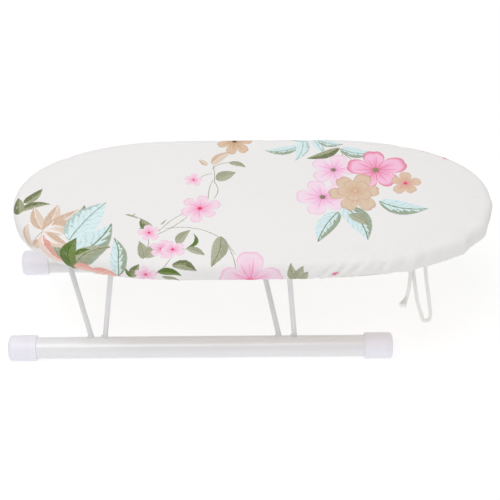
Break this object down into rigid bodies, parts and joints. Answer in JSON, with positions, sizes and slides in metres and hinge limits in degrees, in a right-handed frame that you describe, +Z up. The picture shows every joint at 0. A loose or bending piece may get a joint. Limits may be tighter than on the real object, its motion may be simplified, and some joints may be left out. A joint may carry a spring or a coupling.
{
  "type": "tabletop ironing board",
  "caption": "Small padded ironing board in a printed drawstring cover, on two long foot tubes carried by bent wire frames that unclip from its underside.",
  "frame": {"origin": "on the table, within a millimetre of the middle of the plan of everything but the drawstring's free ends", "axes": "+X along the board towards its free overhanging end, -Y towards the front long side, +Z up"},
  "size_m": [0.539, 0.202, 0.184],
  "materials": {
    "fibreboard": "raw hardboard",
    "foam": "soft open-cell foam",
    "printed_cotton": "plain-weave cotton with a floral print",
    "cotton_cord": "twisted cotton",
    "white_tube": "satin white powder coat",
    "white_wire": "satin white powder coat",
    "cap_plastic": "soft satin plastic, faintly lavender",
    "clip_steel": "bright zinc",
    "screw_steel": "zinc plated"
  },
  "bodies": {
    "board": {"board_panel": "fibreboard", "foam_pad": "foam", "cover": "printed_cotton", "drawstring_ring": "cotton_cord", "drawstring_loop": "cotton_cord", "drawstring_tail": "cotton_cord", "front_upright_clip_1": "clip_steel", "front_upright_clip_2": "clip_steel", "front_brace_clip_1": "clip_steel", "front_brace_clip_2": "clip_steel", "rear_upright_clip_1": "clip_steel", "rear_upright_clip_2": "clip_steel", "rear_brace_clip_1": "clip_steel", "rear_brace_clip_2": "clip_steel", "front_clip_screws": "screw_steel", "rear_clip_screws": "screw_steel"},
    "front_foot": {"front_tube": "white_tube", "front_cap_left": "cap_plastic", "front_cap_right": "cap_plastic", "front_upright_frame": "white_wire", "front_brace_frame": "white_wire", "front_weld_beads": "white_wire"},
    "rear_foot": {"rear_tube": "white_tube", "rear_cap_left": "cap_plastic", "rear_cap_right": "cap_plastic", "rear_upright_frame": "white_wire", "rear_brace_frame": "white_wire", "rear_weld_beads": "white_wire"}
  },
  "joints": [
    {"name": "front_foot_unclip", "type": "slide", "parent": "board", "child": "front_foot", "axis": [0, 0, -1], "range_m": [0, 0.012]},
    {"name": "rear_foot_unclip", "type": "slide", "parent": "board", "child": "rear_foot", "axis": [0, 0, -1], "range_m": [0, 0.012]}
  ]
}
